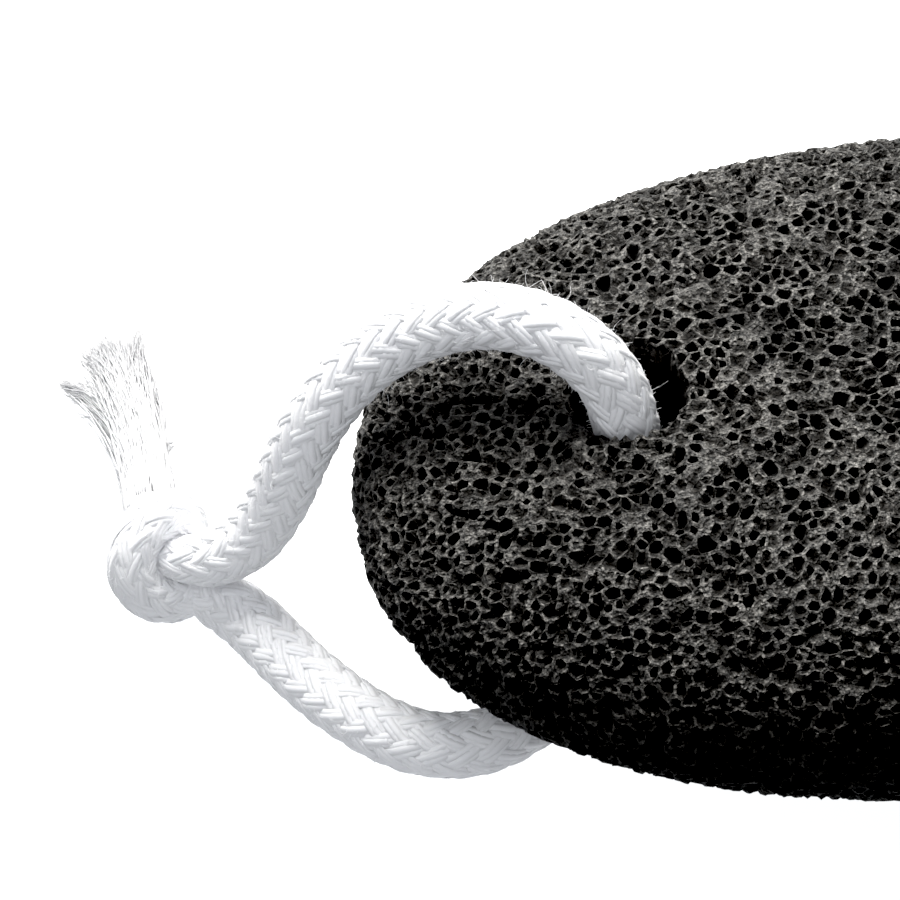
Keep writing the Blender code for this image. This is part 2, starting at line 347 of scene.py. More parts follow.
def braid_part(first, last):
    """The braid between two steps of the line."""
    middles, outwards, shares = yarn_lines(first, last, random.Random(BRAID_SEED))
    yarns = tubes_from(middles, outwards, YARN_RADIUS * shares[None], YARN_SIDES, YARN_FLATNESS)
    return [yarns, heart_tube(first, last)]


# %% [markdown]
# Nap scatters the light round each yarn, so a real yarn looks flatter than a bare tube of the
# same form. Thousands more fibres would do that. It is cheaper to draw each corner's shading
# direction towards the direction that points out of the cord, which leaves the shape as it is.

# %% Shade the yarns softly
NAP_SHARE = 0.42
LOOSE_NAP_SHARE = 0.12


def soften_shading(piece, out, nap_share):
    """Turns a piece's shading directions part of the way to the ones given."""
    mesh = piece.data
    own = np.empty(len(mesh.vertices) * 3)
    mesh.vertices.foreach_get("normal", own)
    blended = own.reshape(-1, 3) * (1 - nap_share) + out * nap_share
    blended /= np.linalg.norm(blended, axis=1)[:, None] + 1e-9
    mesh.normals_split_custom_set_from_vertices(blended.tolist())
    print(f"{piece.name}: {len(blended)} shading directions softened")


def out_of_cord(piece):
    """For each corner of a piece, the direction straight out from the cord's line."""
    places = np.empty(len(piece.data.vertices) * 3)
    piece.data.vertices.foreach_get("co", places)
    places = places.reshape(-1, 3) / MM
    middles = line[:, :3]
    nearest = ((middles ** 2).sum(1)[None] - 2 * places @ middles.T).argmin(1)
    out = places - middles[nearest]
    out -= line_along[nearest] * (out * line_along[nearest]).sum(1)[:, None]
    return out / (np.linalg.norm(out, axis=1)[:, None] + 1e-9)


loop_braid = mesh_piece("cord_braid", *joined(braid_part(loop_start, loop_end)))
soften_shading(loop_braid, out_of_cord(loop_braid), NAP_SHARE)
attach(loop_braid, "root")
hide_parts("cord")

# %% [markdown]
# ## The knot
# Close the loop by winding the lower strand once round the upper one and drawing it tight. Both
# strands are the same braid on the same line, only thinner where they are squeezed, so the knot
# is cut from the line as well. Modelling it as a lump would lose the crossing that makes it
# read as a knot.

# %% Core and wrap
knot_parts = braid_part(core_start, loop_start) + braid_part(loop_end, len(line) - 1)
knot_braid = mesh_piece("knot_braid", *joined(knot_parts))
soften_shading(knot_braid, out_of_cord(knot_braid), NAP_SHARE)
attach(knot_braid, "root")
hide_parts("knot")

# %% [markdown]
# ## The frayed end
# Behind the knot the braid has come undone. Its yarns leave it side by side as one soft bundle,
# open into their single fibres, and lean together into a few pointed tufts. So each yarn goes
# on from where the braid lets go of it, and each of its fibres follows its own curve to a tuft.
# A solid tuft with a fibre picture on it would have a hard edge, which cotton never has.

# %% Where the tufts end
# Each tuft has the place of its tip, how wide it is there, and its share of the fibres.
TUFTS = (
    ((-73.3, 31.6, 1.6), 0.40, 0.26),
    ((-71.0, 34.7, 2.2), 0.60, 0.20),
    ((-69.3, 35.9, 2.4), 0.70, 0.20),
    ((-67.4, 35.6, 2.2), 0.70, 0.16),
    ((-66.0, 36.9, 1.6), 0.30, 0.13),
    ((-65.0, 29.0, 2.2), 0.40, 0.09),
    ((-63.6, 22.3, 2.4), 0.20, 0.03),
)
TUFTS_MIDDLE = -69.2
FRAY_STEPS = 15
FIBRE_SIDES = 3
YARN_SPLIT = 28
# Where the fibres start: how far out, as a share of their yarn's own reach, and how unevenly.
START_REACH = (0.45, 1.04)
UNEVEN_START = 1.8
# A fibre goes to the tuft that lies on its own side of the bundle, most of the time.
TUFT_SIDE = -0.5
TUFT_CHOICE = 5
# The bundle between the braid and the tufts: the braid's own reach, and how wide and high it is.
BRAID_REACH = 2.1
BUNDLE_WIDTH = 3.15
BUNDLE_HEIGHT = 1.76
STRAY_SIDE = 0.3
STRAY_UP = 0.25
# How far along its way a fibre keeps to the braid's direction, and then turns to its tuft.
LEAVING = 0.25
ARRIVING = 0.42
TURN_TO_TIP = 0.24
TIP_HEIGHT = 0.3
SHORT_OF_TIP = 0.11
# Each fibre's own slow waves, its thickness, and how much of that is lost towards its tip.
WAVES = (1.0, 2.2)
SWAY = (0.03, 0.09)
FIRST_FIBRE = 0.2
OTHER_FIBRES = (0.06, 0.12)
TAPER = 0.8
ABOVE_GROUND = 0.02


# %% Part the yarns into fibres
def bezier(start, near_start, near_end, end, count):
    """Points on the curve that leaves start towards near_start and reaches end from near_end."""
    share = np.linspace(0, 1, count)[:, None]
    rest = 1 - share
    return (rest ** 3 * start + 3 * rest ** 2 * share * near_start
            + 3 * rest * share ** 2 * near_end + share ** 3 * end)


def frayed_fibres(dice):
    """Lines for the fibres that the yarns open into, and their radii."""
    middles, outwards, _ = yarn_lines(core_start - 2, core_start + 2, random.Random(BRAID_SEED))
    base = line[core_start, :3]
    back = -line_along[core_start]
    sideways = np.array((back[1], -back[0], 0))
    sideways /= np.linalg.norm(sideways)
    lines, radii, outs = [], [], []
    for yarn, outward in zip(middles, outwards):
        for number in range(YARN_SPLIT):
            away = (yarn[2] - base) * dice.uniform(*START_REACH)
            across = away @ sideways
            liked = [share * math.exp(-((spot[0] - TUFTS_MIDDLE) * TUFT_SIDE - across) ** 2 / TUFT_CHOICE)
                     for spot, _, share in TUFTS]
            tip, width, _ = dice.choices(TUFTS, liked)[0]
            tip = np.array(tip)
            root = base + away - back * dice.uniform(0, UNEVEN_START)
            to_tip = tip - root
            reach = np.linalg.norm(to_tip)
            end = tip + sideways * dice.gauss(0, width) + (0, 0, dice.gauss(0, TIP_HEIGHT))
            end = end - to_tip / reach * abs(dice.gauss(0, SHORT_OF_TIP * reach))
            spread = sideways * (across / BRAID_REACH * BUNDLE_WIDTH + dice.gauss(0, STRAY_SIDE))
            lift = (0, 0, away[2] / BRAID_REACH * BUNDLE_HEIGHT + dice.gauss(0, STRAY_UP))
            near_start = root + back * reach * LEAVING
            near_end = base + back * reach * ARRIVING + spread + lift + to_tip * TURN_TO_TIP
            path = bezier(root, near_start, near_end, end, FRAY_STEPS)
            share = np.linspace(0, 1, FRAY_STEPS)
            beat = reach * dice.uniform(*WAVES)
            turn = dice.uniform(0, 6.3)
            sway = dice.uniform(*SWAY) * np.minimum(1, share * 4)
            path += sideways * (sway * np.sin(beat * share + turn))[:, None]
            path[:, 2] += sway * np.cos(beat * share * 1.1 + turn)
            thick = FIRST_FIBRE if number == 0 else dice.uniform(*OTHER_FIBRES)
            thin = thick * (1 - TAPER * share ** 2)
            path[:, 2] = np.maximum(path[:, 2], thin + ABOVE_GROUND)
            lines.append(path)
            outs.append(np.repeat(outward[:1], FRAY_STEPS, 0))
            radii.append(thin)
    return np.array(lines), np.array(outs), np.array(radii)


fray_lines, fray_outs, fray_radii = frayed_fibres(random.Random(21))
fray_tubes = tubes_from(fray_lines, fray_outs, fray_radii, FIBRE_SIDES)
frayed_end = mesh_piece("frayed_yarns", *joined([fray_tubes]))
# How far each fibre has opened, which paints the frayed end greyer as shade between its fibres.
loose = frayed_end.data.attributes.new("loose", "FLOAT", "POINT")
opened = np.clip(np.linspace(0, 3, FRAY_STEPS), 0, 1)
loose.data.foreach_set("value", np.tile(np.repeat(opened, FIBRE_SIDES), len(fray_lines)))
soften_shading(frayed_end, np.array((0, 0, 1.0)), LOOSE_NAP_SHARE)
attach(frayed_end, "root")
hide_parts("frayed_end")

# %% [markdown]
# ## Loose fibres
# Cotton is never clean at its edge: short fibres stand out from every yarn, and here and there
# one curls up into a loop. They are what makes the cord look soft against the black stone. Hair
# curves would be quicker to make, but they are lost when the model leaves this program, so each
# fibre is a thread of real mesh with three sides.

# %% Scatter fibres over the cord
FIBRE_COUNT = 7500
FIBRE_STEPS = 5
FIBRE_RADIUS = 0.022
FIBRE_TAPER = (1.1, 0.5)
ROOT_INSET = 0.25
# A fibre leans along the cord and away from it, and curls as it grows.
LEAN_ALONG = (0.5, 2.5)
LEAN_SHARE = 0.6
STAND_OUT = (0.35, 1.15)
CURL = 0.32
SHORT_SHARE = 0.95
SHORT_LENGTH = (0.4, 1.1)
LONG_LENGTH = (1.1, 2.6)
LOWEST = 0.05


def loose_fibres(dice):
    """Short curved threads that start in the braid's surface."""
    lines, outs = [], []
    for _ in range(FIBRE_COUNT):
        step = dice.randrange(0, len(line) - 1)
        angle = dice.uniform(0, 2 * math.pi)
        along = line_along[step]
        out = line_side[step] * math.cos(angle) + line_up[step] * math.sin(angle)
        root = line[step, :3] + out * line[step, 3] * (CORD_RADIUS - ROOT_INSET)
        lean = (along * dice.choice((-1, 1)) * dice.uniform(*LEAN_ALONG)
                + np.cross(out, along) * dice.uniform(-1, 1))
        length = dice.uniform(*(SHORT_LENGTH if dice.random() < SHORT_SHARE else LONG_LENGTH))
        curl = np.array([dice.gauss(0, 1) for _ in range(3)])
        heading = out * dice.uniform(*STAND_OUT) + lean * LEAN_SHARE
        place = root
        path = []
        for _ in range(FIBRE_STEPS):
            path.append(place)
            heading = heading / np.linalg.norm(heading)
            place = place + heading * length / FIBRE_STEPS
            heading = heading + curl * CURL
        path = np.array(path)
        path[:, 2] = np.maximum(path[:, 2], LOWEST)
        lines.append(path)
        outs.append(np.repeat(out[None], FIBRE_STEPS, 0))
    return np.array(lines), np.array(outs)


fibre_lines, fibre_outs = loose_fibres(random.Random(31))
fibre_radii = FIBRE_RADIUS * np.linspace(*FIBRE_TAPER, FIBRE_STEPS)[None]
fibre_tubes = tubes_from(fibre_lines, fibre_outs, fibre_radii, FIBRE_SIDES)
cord_fuzz = mesh_piece("cord_fuzz", *joined([fibre_tubes]))
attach(cord_fuzz, "root")

# %% [markdown]
# The loop is a free cord. It leaves the knot at its upper strand and comes back to the same knot
# along the ground.

# %% [markdown]
# ## The pebble
# The stone's form is a rounded slab: squarer than an ellipse seen from above, flatter on its
# crown than on its underside, and lifted a little under the hole. A formula gives all of it from
# the size of the solid stone. The hole is cut with a Boolean, and a voxel remesh turns the
# result into even small squares to work on.

# %% The smooth form and its hole
stone_low, stone_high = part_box("stone")
STONE_LENGTH = 100.0
STONE_WIDTH = 65.0
STONE_THICKNESS = 30.0
PLAN_EXPONENT = 2.22
CROWN_EXPONENT = 2.6
BELLY_EXPONENT = 2.0
WORN_DEPTH = 0.5
BELLY_SLOPE = math.tan(math.radians(9))
BELLY_SLOPE_START = -5
HOLE_CENTRE = np.array((-27.0, 0.3))
HOLE_RADIUS = 4.6
DRILL_SIDES = 64
GRAIN = 0.6
print("the solid stone measures", [round(value / MM, 1) for value in stone_high - stone_low], "mm")


def stone_point(angle, reach, upper):
    """A point of the smooth stone: reach is 0 over its middle and 1 on its widest line."""
    across = abs(math.cos(angle)) ** PLAN_EXPONENT + abs(math.sin(angle)) ** PLAN_EXPONENT
    plan = reach * across ** (-1 / PLAN_EXPONENT)
    x = STONE_LENGTH / 2 * plan * math.cos(angle)
    y = STONE_WIDTH / 2 * plan * math.sin(angle)
    middle = STONE_THICKNESS / 2
    if upper:
        return (x, y, middle + middle * (1 - reach ** CROWN_EXPONENT) ** (1 / CROWN_EXPONENT))
    fullness = (1 - reach ** BELLY_EXPONENT) ** (1 / BELLY_EXPONENT)
    rise = BELLY_SLOPE * max(0, BELLY_SLOPE_START - x)
    return (x, y, max(0, middle - (middle + WORN_DEPTH - rise) * fullness))


def smooth_stone(steps=192, rings=32):
    """The closed pebble, as rings of points from the crown down to the underside."""
    reaches = [math.sin(math.pi / 2 * ring / rings) for ring in range(1, rings)]
    rows = [(reach, True) for reach in reaches] + [(1, True)]
    rows += [(reach, False) for reach in reversed(reaches)]
    corners = [stone_point(2 * math.pi * step / steps, reach, upper)
               for reach, upper in rows for step in range(steps)]
    corners += [stone_point(0, 0, True), stone_point(0, 0, False)]
    crown, belly = len(corners) - 2, len(corners) - 1
    faces = []
    for step in range(steps):
        after = (step + 1) % steps
        faces.append((crown, step, after))
        faces.append((belly, (len(rows) - 1) * steps + after, (len(rows) - 1) * steps + step))
        for row in range(len(rows) - 1):
            high, low = row * steps, (row + 1) * steps
            faces.append((high + step, low + step, low + after, high + after))
    return mesh_piece("smooth_stone", corners, faces)


def worked_mesh(thing):
    """A new mesh with the object's modifiers worked into it."""
    depsgraph = bpy.context.evaluated_depsgraph_get()
    return bpy.data.meshes.new_from_object(thing.evaluated_get(depsgraph))


def drilled_stone():
    """The pebble with its hole, as one even fine mesh."""
    body = smooth_stone()
    drill_mesh = bpy.data.meshes.new("drill")
    shape = bmesh.new()
    bmesh.ops.create_cone(shape, cap_ends=True, segments=DRILL_SIDES, radius1=HOLE_RADIUS * MM,
                          radius2=HOLE_RADIUS * MM, depth=2 * STONE_THICKNESS * MM)
    shape.to_mesh(drill_mesh)
    shape.free()
    drill = bpy.data.objects.new("drill", drill_mesh)
    drill.location = (HOLE_CENTRE[0] * MM, HOLE_CENTRE[1] * MM, STONE_THICKNESS / 2 * MM)
    bpy.context.scene.collection.objects.link(drill)
    bpy.context.view_layer.update()
    cut = body.modifiers.new("hole", "BOOLEAN")
    cut.object = drill
    cut.operation = "DIFFERENCE"
    cut.solver = "EXACT"
    grain = body.modifiers.new("grain", "REMESH")
    grain.mode = "VOXEL"
    grain.voxel_size = GRAIN * MM
    fine = worked_mesh(body)
    bpy.data.objects.remove(body)
    bpy.data.objects.remove(drill)
    return fine


fine_stone = drilled_stone()
print("fine mesh:", len(fine_stone.vertices), "corners")

# %% [markdown]
# The drilled edge of the hole is worn round, and more so below. Drawing the points near a mouth
# towards their neighbours, again and again, rounds it just as wear does, and follows the
# stone's slope there, which a turned bevel would not.

# %% Soften the mouths
MOUTH_WIDTH = 4.5
MOUTH_PULL = 0.7
UPPER_MOUTH_ROUNDS = 1
LOWER_MOUTH_ROUNDS = 46
FLAT_BELOW = 0.3


def soften_mouth(shape, side, rounds):
    """Moves the points near one mouth of the hole, most where the edge was."""
    near = []
    for vert in shape.verts:
        x, y, z = (value / MM for value in vert.co)
        from_wall = abs(math.hypot(x - HOLE_CENTRE[0], y - HOLE_CENTRE[1]) - HOLE_RADIUS)
        from_middle = side * (z - STONE_THICKNESS / 2)
        if from_wall < MOUTH_WIDTH and from_middle > STONE_THICKNESS / 8:
            near.append((vert, MOUTH_PULL * (1 - from_wall / MOUTH_WIDTH)))
    for _ in range(rounds):
        moved = []
        for vert, weight in near:
            centre = sum((edge.other_vert(vert).co for edge in vert.link_edges), Vector())
            moved.append(vert.co.lerp(centre / len(vert.link_edges), weight))
        for (vert, _), place in zip(near, moved):
            vert.co = place


def worn_stone(mesh):
    """Softens both mouths and levels the worn flat, and gives the surface to build on."""
    shape = bmesh.new()
    shape.from_mesh(mesh)
    soften_mouth(shape, 1, UPPER_MOUTH_ROUNDS)
    soften_mouth(shape, -1, LOWER_MOUTH_ROUNDS)
    for vert in shape.verts:
        if vert.co.z < FLAT_BELOW * MM:
            vert.co.z = 0
    shape.to_mesh(mesh)
    surface = BVHTree.FromBMesh(shape)
    shape.free()
    return surface


stone_surface = worn_stone(fine_stone)

# %% [markdown]
# ## Open cells
# The foam is the whole look of this stone: thousands of pores about a millimetre apart, of all
# shapes, with crumbly grey glass between them. Cutting each one with a Boolean would take
# hours. Instead the surface is thinned to uneven triangles, one corner for each pore. The
# middles of the triangles round a corner then outline that pore's own patch, and since
# neighbours share them, the patches join up by themselves. Inside each patch a lip, a wall and
# a floor sink the pore.

# %% Uneven triangles, one corner for each pore
PORES = 12500
SHAKE = 0.5
SLIDE = 0.5
dice = random.Random(17)


def uneven_triangles(mesh):
    """The fine mesh, shaken and thinned until it has about one corner for each pore."""
    rough_mesh = mesh.copy()
    for vert in rough_mesh.vertices:
        vert.co += Vector([dice.uniform(-1, 1) for _ in range(3)]) * GRAIN * SHAKE * MM
    rough = bpy.data.objects.new("rough_stone", rough_mesh)
    bpy.context.scene.collection.objects.link(rough)
    split = rough.modifiers.new("split", "TRIANGULATE")
    split.quad_method = "BEAUTY"
    thin = rough.modifiers.new("thin", "DECIMATE")
    thin.ratio = PORES / len(rough_mesh.vertices)
    shape = bmesh.new()
    shape.from_mesh(worked_mesh(rough))
    bpy.data.objects.remove(rough)
    return shape


def even_out(shape, rounds=2):
    """Slides the corners apart along the surface, and flips edges that have become long."""
    for _ in range(rounds):
        bmesh.ops.beautify_fill(shape, faces=shape.faces, edges=shape.edges, method="ANGLE")
        moved = []
        for vert in shape.verts:
            centre = sum((edge.other_vert(vert).co for edge in vert.link_edges), Vector())
            moved.append(vert.co.lerp(centre / len(vert.link_edges), SLIDE))
        for vert, place in zip(shape.verts, moved):
            vert.co = stone_surface.find_nearest(place)[0]


triangles = uneven_triangles(fine_stone)
even_out(triangles)
triangles.normal_update()
print("pores:", len(triangles.verts))

# %% Lips, walls and floors
CRUMB = 0.14
SLIP = 0.12
BROKEN_SHARE = 0.3
BROKEN_DEPTH = (0.2, 0.7)
OFF_CENTRE = 0.25
WIDEST_LIP = 0.93
LIP_UNEVEN = (0.8, 1.15)
LIP_SINKS = (-0.08, 0.1)
# The lip of each pore is painted lighter, as a highlight.
LIP_GLINT_LEVEL = 0.12
WALL_SHARE = (0.6, 0.85)
# Deep in the hole the wall is painted black as shade, from a little inside each mouth.
HOLE_SHADE_TONE = 0.85
HOLE_SHADE_FROM = 0.9
HOLE_SHADE_DEPTH = 2.5
HOLE_SHADE_MARGIN = 0.2
# Each kind of pore: its share, how wide it opens, how deep its wall and floor are, and how dark their
# painted shade is.
PORE_KINDS = (
    ("deep", 0.46, (0.60, 0.92), (0.40, 0.75), (1.0, 1.7), (0.55, 0.9), 1.0),
    ("bowl", 0.38, (0.66, 0.95), (0.15, 0.35), (0.35, 0.7), (0.22, 0.5), 0.62),
    ("blind", 0.16, (0.35, 0.70), (0.08, 0.2), (0.15, 0.3), (0.1, 0.3), 0.3),
)


def faces_around(vert):
    """The faces that meet in a corner, in turning order."""
    first = vert.link_loops[0]
    loop = first
    order = []
    while True:
        order.append(loop.face)
        loop = loop.link_loop_prev.link_loop_radial_next
        if loop == first:
            return order


def pore(ring, inward, corners, shade_and_glint_levels, faces):
    """Sinks one pore inside a ring of corners that it shares with its neighbours."""
    places = np.array([corners[number] for number in ring])
    middle = places.mean(0)
    width = np.linalg.norm(places - middle, axis=1).mean()
    centre = middle + (places[dice.randrange(len(places))] - middle) * dice.uniform(0, OFF_CENTRE)
    kind = dice.choices(PORE_KINDS, [kind[1] for kind in PORE_KINDS])[0]
    _, _, widths, wall_depths, floor_depths, wall_shades, floor_shade = kind
    opening = dice.uniform(*widths)
    # The lip gets a painted highlight; the wall and the floor get painted shade.
    wall_shade = dice.uniform(*wall_shades)
    lip = len(corners)
    for place in places:
        share = min(WIDEST_LIP, opening * dice.uniform(*LIP_UNEVEN))
        corners.append(centre + (place - centre) * share + inward * dice.uniform(*LIP_SINKS))
        shade_and_glint_levels.append(LIP_GLINT_LEVEL)
    wall = len(corners)
    for place in places:
        share = opening * dice.uniform(*WALL_SHARE)
        corners.append(centre + (place - centre) * share + inward * width * dice.uniform(*wall_depths))
        shade_and_glint_levels.append(wall_shade)
    floor = len(corners)
    corners.append(centre + inward * width * dice.uniform(*floor_depths))
    shade_and_glint_levels.append(floor_shade)
    count = len(ring)
    for one in range(count):
        two = (one + 1) % count
        faces.append((ring[one], ring[two], lip + two, lip + one))
        faces.append((lip + one, lip + two, wall + two, wall + one))
        faces.append((wall + one, wall + two, floor))


def rims():
    """The place of the middle of each triangle, a little uneven, and how far it has broken away."""
    places = []
    for face in triangles.faces:
        slip = Vector([dice.uniform(-1, 1) for _ in range(3)]) * SLIP * MM
        place, normal, _, _ = stone_surface.find_nearest(face.calc_center_median() + slip)
        sunk = dice.uniform(-1, 1) * CRUMB
        broken = dice.uniform(*BROKEN_DEPTH) if dice.random() < BROKEN_SHARE else 0
        place = np.array(place - normal * (sunk + broken) * MM) / MM
        place[2] = max(0, place[2])
        places.append((place, broken))
    return places


def painted_hole_shade(corners):
    """How much painted shade each corner gets for being deep in the hole."""
    from_axis = np.hypot(corners[:, 0] - HOLE_CENTRE[0], corners[:, 1] - HOLE_CENTRE[1])
    from_mouths = STONE_THICKNESS / 2 - abs(corners[:, 2] - STONE_THICKNESS / 2)
    in_hole = from_axis < HOLE_RADIUS + HOLE_SHADE_MARGIN
    return HOLE_SHADE_TONE * in_hole * np.clip((from_mouths - HOLE_SHADE_FROM) / HOLE_SHADE_DEPTH, 0, 1)


def foam_half(verts, all_rims):
    """Corners, faces and each corner's painted shade or lip highlight, for some of the pores."""
    corners, shade_and_glint_levels, faces, known = [], [], [], {}
    for vert in verts:
        ring = []
        for face in faces_around(vert):
            if face.index not in known:
                place, broken = all_rims[face.index]
                known[face.index] = len(corners)
                corners.append(place)
                # A rim that has broken away is painted darker, as shade in the dip it leaves.
                shade_and_glint_levels.append(min(1, broken))
            ring.append(known[face.index])
        pore(ring, -np.array(vert.normal), corners, shade_and_glint_levels, faces)
    corners = np.array(corners)
    corners[:, 2] = np.maximum(corners[:, 2], 0)
    # Deep in the hole, the painted shade takes over where it is darker.
    return corners, faces, np.maximum(shade_and_glint_levels, painted_hole_shade(corners))


# %% Two halves of one skin
# The skin is kept as two pieces, above and below, so that neither is too heavy.
def foam_piece(name, verts, all_rims):
    """One half of the skin as an object, with its painted shade and lip highlights kept for the colours."""
    corners, faces, shade_and_glint_levels = foam_half(verts, all_rims)
    piece = mesh_piece(name, corners, faces, smooth=False)
    piece.data.attributes.new("painted_shade_and_glint", "FLOAT", "POINT").data.foreach_set("value", shade_and_glint_levels)
    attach(piece, "root")
    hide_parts("stone")
    return piece


triangles.faces.index_update()
by_height = sorted(triangles.verts, key=lambda vert: vert.co.z)
all_rims = rims()
foam_below = foam_piece("foam_below", by_height[:len(by_height) // 2], all_rims)
foam_above = foam_piece("foam_above", by_height[len(by_height) // 2:], all_rims)
triangles.free()

# %% [markdown]
# ## Black glassy foam
# Up close the rock is dark grey glass with a dry, crumbled surface, and its ridges catch the light
# in small glints, some of them painted into the colour as bright specks. The lip of each pore is a
# lighter ring, a painted highlight, and the pores are painted black as shade, the darker the deeper
# a corner lies. Noise breaks it up. Finer bubbles than the mesh can hold are left to bump.


# %% A helper for node trees
def new_material(name):
    """A new material, a function that adds linked nodes to it, its shader and its node tree."""
    material = bpy.data.materials.new(name)
    material.use_nodes = True
    tree = material.node_tree

    def add(kind, inputs=None, **settings):
        node = tree.nodes.new(kind)
        for key, value in settings.items():
            setattr(node, key, value)
        for key, value in (inputs or {}).items():
            if isinstance(value, bpy.types.NodeSocket):
                tree.links.new(value, node.inputs[key])
            else:
                node.inputs[key].default_value = value
        return node

    shader = tree.nodes["Principled BSDF"]
    return material, add, shader, tree


def set_ramp(node, stops):
    """Gives a colour ramp its stops, each a place and a colour."""
    ramp = node.color_ramp
    while len(ramp.elements) > 1:
        ramp.elements.remove(ramp.elements[-1])
    for number, (place, colour) in enumerate(stops):
        element = ramp.elements[0] if number == 0 else ramp.elements.new(place)
        element.position = place
        element.color = (*colour, 1)


# %% The foam's material
def foam_material():
    """Dark glass foam: grey ridges, a painted highlight at each lip and painted black shade in its pores.
    """
    material, add, shader, tree = new_material("black_foam")
    place = add("ShaderNodeTexCoord").outputs["Object"]
    # Each corner's painted shade, or its painted highlight at a lip.
    depth = add("ShaderNodeAttribute", attribute_name="painted_shade_and_glint").outputs["Fac"]
    grains = add("ShaderNodeTexNoise", {"Vector": place, "Scale": 2900, "Detail": 3, "Roughness": 0.75})
    blots = add("ShaderNodeTexNoise", {"Vector": place, "Scale": 1300, "Detail": 2})
    patches = add("ShaderNodeTexNoise", {"Vector": place, "Scale": 260, "Detail": 3})
    facets = add("ShaderNodeTexVoronoi", {"Vector": place, "Scale": 3200, "Randomness": 1.0})
    uneven = add("ShaderNodeMapRange", {"Value": blots.outputs["Fac"], "From Min": 0.3, "From Max": 0.7,
                                        "To Min": -0.1, "To Max": 0.1})
    level = add("ShaderNodeMath", {0: depth, 1: uneven.outputs[0]}, operation="ADD", use_clamp=True)
    # Grey on the ridges, lighter at the lip as a painted highlight, then painted shade down to black.
    tone = add("ShaderNodeValToRGB", {"Fac": level.outputs[0]})
    set_ramp(tone, ((0.0, (0.085, 0.082, 0.077)), (0.1, (0.15, 0.145, 0.135)), (0.2, (0.055, 0.052, 0.048)),
                    (0.5, (0.017, 0.0155, 0.0135)), (0.9, (0.002, 0.002, 0.002))))
    # Fine grains vary the colour, partly as the glass's own grit and partly as painted glints.
    speckle_and_glints = add("ShaderNodeMapRange", {"Value": grains.outputs["Fac"], "From Min": 0.4, "From Max": 0.64,
                                         "To Min": 0.1, "To Max": 2.3})
    patch_tone = add("ShaderNodeMapRange", {"Value": patches.outputs["Fac"], "From Min": 0.3,
                                            "From Max": 0.7, "To Min": 0.6, "To Max": 1.4})
    amount = add("ShaderNodeMath", {0: speckle_and_glints.outputs[0], 1: patch_tone.outputs[0]}, operation="MULTIPLY")
    colour = add("ShaderNodeVectorMath", {0: tone.outputs["Color"], "Scale": amount.outputs[0]},
                 operation="SCALE")
    tree.links.new(colour.outputs[0], shader.inputs["Base Color"])
    gloss = add("ShaderNodeMapRange", {"Value": level.outputs[0], "From Min": 0.0, "From Max": 0.6,
                                       "To Min": 0.4, "To Max": 1.0})
    tree.links.new(gloss.outputs[0], shader.inputs["Roughness"])
    grit = add("ShaderNodeBump", {"Height": grains.outputs["Fac"], "Strength": 1.0, "Distance": 0.0004})
    chips = add("ShaderNodeBump", {"Height": facets.outputs["Distance"], "Strength": 1.0,
                                   "Distance": 0.0002, "Normal": grit.outputs[0]})
    tree.links.new(chips.outputs[0], shader.inputs["Normal"])
    shader.inputs["Specular IOR Level"].default_value = 0.4
    return material


foam = foam_material()
foam_below.data.materials.append(foam)
foam_above.data.materials.append(foam)

# %% [markdown]
# ## White cotton
# Bleached cotton yarn is matt and lets a little light through, so its shaded side stays soft.
# A touch of scattering under the surface does that, and a sheen stands for the finest nap. The
# twist of each yarn is too fine for the mesh and is drawn as bump. The frayed end is painted a
# little greyer, as painted shade between its opened fibres, by a number kept on its mesh.


# %% The cotton's material
# How grey the most opened fibres are painted, as shade between them.
LOOSE_SHADE = 0.74


def cotton_material():
    """Matt white yarn with a fine nap."""
    material, add, shader, tree = new_material("white_cotton")
    place = add("ShaderNodeTexCoord").outputs["Object"]
    nap = add("ShaderNodeTexNoise", {"Vector": place, "Scale": 2600, "Detail": 3, "Roughness": 0.6})
    soil = add("ShaderNodeTexNoise", {"Vector": place, "Scale": 220, "Detail": 2})
    tone = add("ShaderNodeValToRGB", {"Fac": soil.outputs["Fac"]})
    set_ramp(tone, ((0.3, (0.87, 0.87, 0.885)), (0.7, (0.92, 0.92, 0.925))))
    loose = add("ShaderNodeAttribute", attribute_name="loose").outputs["Fac"]
    shade = add("ShaderNodeMapRange", {"Value": loose, "To Min": 1.0, "To Max": LOOSE_SHADE})
    colour = add("ShaderNodeVectorMath", {0: tone.outputs["Color"], "Scale": shade.outputs[0]},
                 operation="SCALE")
    tree.links.new(colour.outputs[0], shader.inputs["Base Color"])
    fluff = add("ShaderNodeBump", {"Height": nap.outputs["Fac"], "Strength": 0.35, "Distance": 0.00008})
    tree.links.new(fluff.outputs[0], shader.inputs["Normal"])
    shader.inputs["Roughness"].default_value = 1.0
    shader.inputs["Sheen Weight"].default_value = 0.25
    shader.inputs["Sheen Roughness"].default_value = 0.5
    shader.inputs["Subsurface Weight"].default_value = 0.1
    shader.inputs["Subsurface Radius"].default_value = (1.0, 1.0, 1.0)
    shader.inputs["Subsurface Scale"].default_value = 0.3 * MM
    shader.inputs["Specular IOR Level"].default_value = 0.08
    return material


cotton = cotton_material()
for piece in (loop_braid, knot_braid, frayed_end, cord_fuzz):
    piece.data.materials.append(cotton)

# %% [markdown]
# ## A bright white ground
# The stone lies on a glowing white surface: in the picture even the ground right under its edge
# is plain white. A plain floor that gives off light of its own has the same effect. The stone's
# lower wall stays almost black in the picture all the same, so only the camera sees the glow.

# %% Floor
FLOOR_SIZE = 3.0
FLOOR_GLOW = 1.0
FLOOR_DROP = 0.02


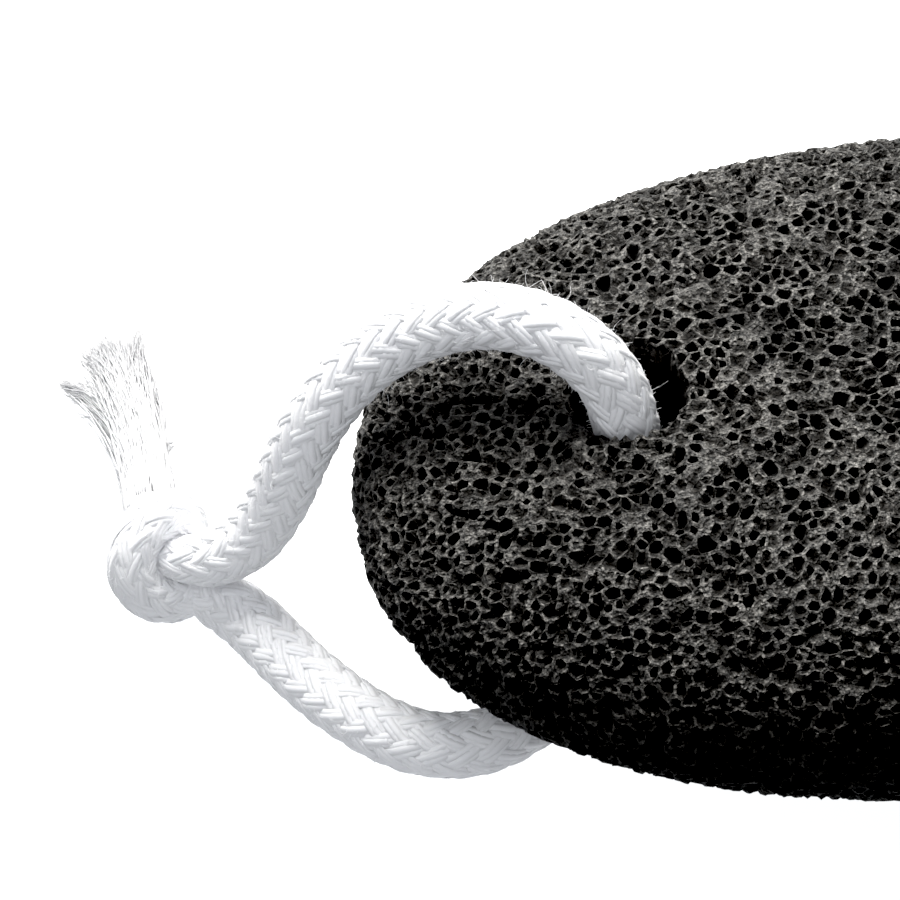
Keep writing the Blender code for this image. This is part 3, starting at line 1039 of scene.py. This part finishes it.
def white_floor():
    """A large flat floor, pale and glowing."""
    half = FLOOR_SIZE / 2 / MM
    corners = [(-half, -half, 0), (half, -half, 0), (half, half, 0), (-half, half, 0)]
    floor = mesh_piece("floor", corners, [(0, 1, 2, 3)])
    floor.location.z = -FLOOR_DROP * MM
    material, _, shader, _ = new_material("floor_white")
    shader.inputs["Base Color"].default_value = (0.9, 0.9, 0.9, 1)
    shader.inputs["Roughness"].default_value = 0.8
    shader.inputs["Emission Color"].default_value = (0.97, 0.985, 1.0, 1)
    shader.inputs["Emission Strength"].default_value = FLOOR_GLOW
    floor.data.materials.append(material)
    floor.visible_diffuse = False
    floor.visible_glossy = False
    return floor


white_floor()

# %% [markdown]
# ## Light
# The main light is a broad soft one, high behind the stone. It skims the crown and comes back to
# the camera off the dusty ridges, while the wall that faces the camera stays almost black. The
# room is bright behind the stone and dark in front for the same reason. The cotton has pale,
# soft shadows that this light alone doesn't give, so two more lamps, one in front and one below
# in place of the glowing ground, reach the cord and nothing else. A small black level at the
# end deepens the pores.


# %% Lamps and the room's light
BACK_COLOUR = (1, 0.99, 0.97)
FILL_COLOUR = (0.93, 0.955, 1)
OVER_THE_STONE = (-10, 0, 15)
ON_THE_CORD = (-50, 0, 15)


def soft_lamp(name, place, target, size, power, colour):
    """A square area light that looks at a point. Places are in millimetres, power in watts."""
    lamp = bpy.data.lights.new(name, "AREA")
    lamp.shape = "SQUARE"
    lamp.size = size * MM
    lamp.energy = power
    lamp.color = colour
    thing = bpy.data.objects.new(name, lamp)
    thing.location = Vector(place) * MM
    thing.rotation_euler = (Vector(target) - Vector(place)).to_track_quat("-Z", "Y").to_euler()
    bpy.context.scene.collection.objects.link(thing)
    return thing


soft_lamp("back_light", (-70, 400, 490), OVER_THE_STONE, 420, 8.9, BACK_COLOUR)
cord_fill = soft_lamp("cord_fill", (-130, -330, 370), ON_THE_CORD, 600, 1.85, FILL_COLOUR)
lit_by_fill = bpy.data.collections.new("lit_by_fill")
for piece in (loop_braid, knot_braid, frayed_end, cord_fuzz):
    lit_by_fill.objects.link(piece)
cord_fill.light_linking.receiver_collection = lit_by_fill
cord_bounce = soft_lamp("cord_bounce", (-50, -60, -300), ON_THE_CORD, 700, 1.6, FILL_COLOUR)
cord_bounce.light_linking.receiver_collection = lit_by_fill
cord_bounce.light_linking.blocker_collection = lit_by_fill


def sky_light():
    """A white room behind the stone that darkens towards the front."""
    sky = bpy.data.worlds.new("sky")
    sky.use_nodes = True
    tree = sky.node_tree
    direction = tree.nodes.new("ShaderNodeTexCoord")
    parts = tree.nodes.new("ShaderNodeSeparateXYZ")
    shade = tree.nodes.new("ShaderNodeMapRange")
    tree.links.new(direction.outputs["Generated"], parts.inputs[0])
    tree.links.new(parts.outputs["Y"], shade.inputs["Value"])
    shade.inputs["From Min"].default_value = -0.5
    shade.inputs["From Max"].default_value = 0.6
    shade.inputs["To Min"].default_value = 0.04
    shade.inputs["To Max"].default_value = 0.7
    tree.links.new(shade.outputs[0], tree.nodes["Background"].inputs["Strength"])
    tree.nodes["Background"].inputs["Color"].default_value = (0.95, 0.97, 1, 1)
    return sky


sky = sky_light()
bpy.context.scene.world = sky
bpy.context.scene.view_settings.view_transform = "Standard"
bpy.context.scene.view_settings.look = "None"
BLACK_POINT = 0.011
bpy.context.scene.view_settings.use_curve_mapping = True
levels = bpy.context.scene.view_settings.curve_mapping
levels.black_level = (BLACK_POINT, BLACK_POINT, BLACK_POINT)
levels.update()
